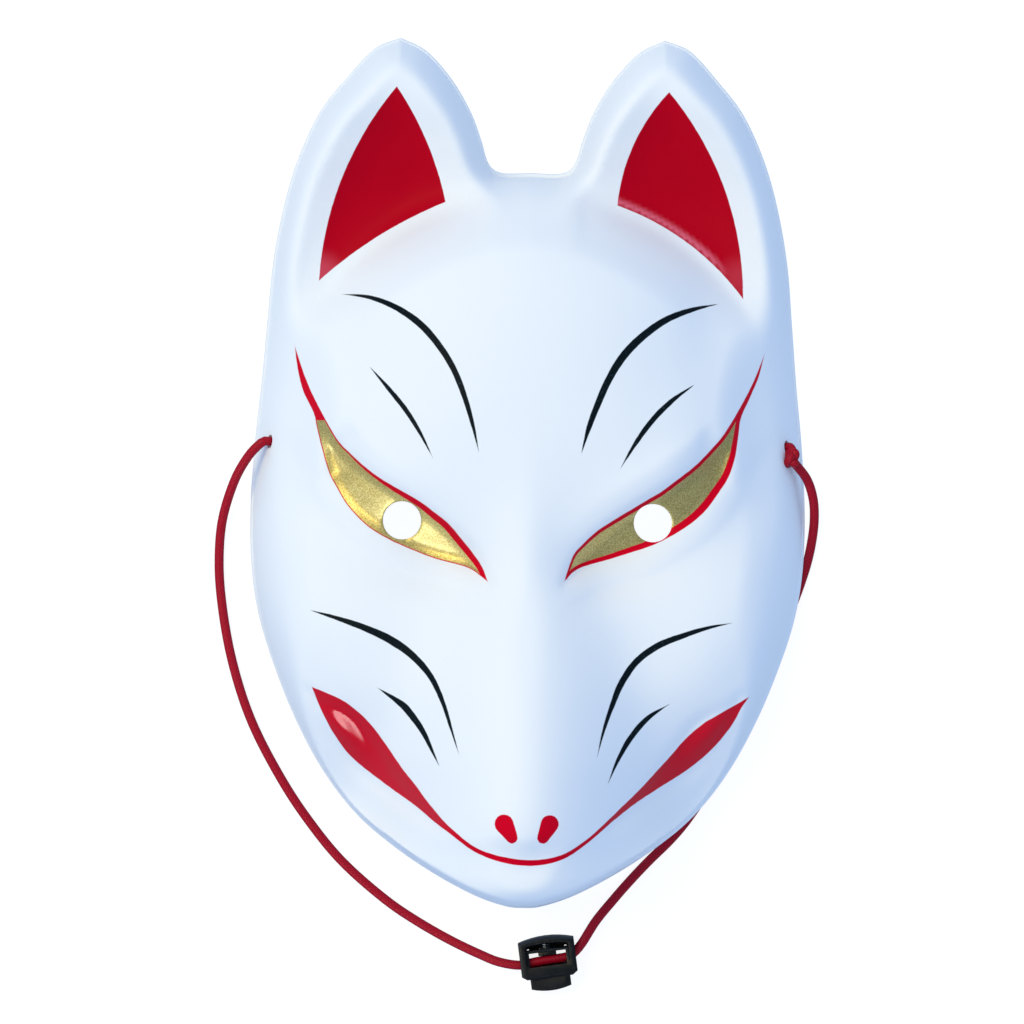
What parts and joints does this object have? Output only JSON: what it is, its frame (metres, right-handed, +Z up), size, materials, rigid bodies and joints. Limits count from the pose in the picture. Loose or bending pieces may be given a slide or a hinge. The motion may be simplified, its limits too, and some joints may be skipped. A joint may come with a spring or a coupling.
{
  "type": "fox mask",
  "caption": "Fox-face mask: a thin moulded shell with pointed ears, a raised snout and round eye holes, worn with an elastic cord and a sprung cord lock.",
  "frame": {"origin": "on the surface the mask lies on, under the middle of the shell", "axes": "+X to the right of the face as seen from the front, +Y from the chin towards the ears, +Z up out of the face, which is lying face up"},
  "size_m": [0.1734, 0.2733, 0.0831],
  "materials": {
    "shell": "satin white paint on moulded plastic, with red, gold and black painting",
    "cord": "braided red elastic",
    "lock": "moulded black plastic"
  },
  "bodies": {
    "mask": {"mask_shell": "shell", "elastic_cord": "cord", "knot_left": "cord", "knot_right": "cord", "lock_body": "lock"},
    "plunger": {"lock_plunger": "lock"}
  },
  "joints": [
    {"name": "lock_press", "type": "slide", "parent": "mask", "child": "plunger", "axis": [-0.1392, 0.9903, 0], "range_m": [0, 0.0016], "stiffness_N_per_m": 400, "springref_m": -0.002}
  ]
}
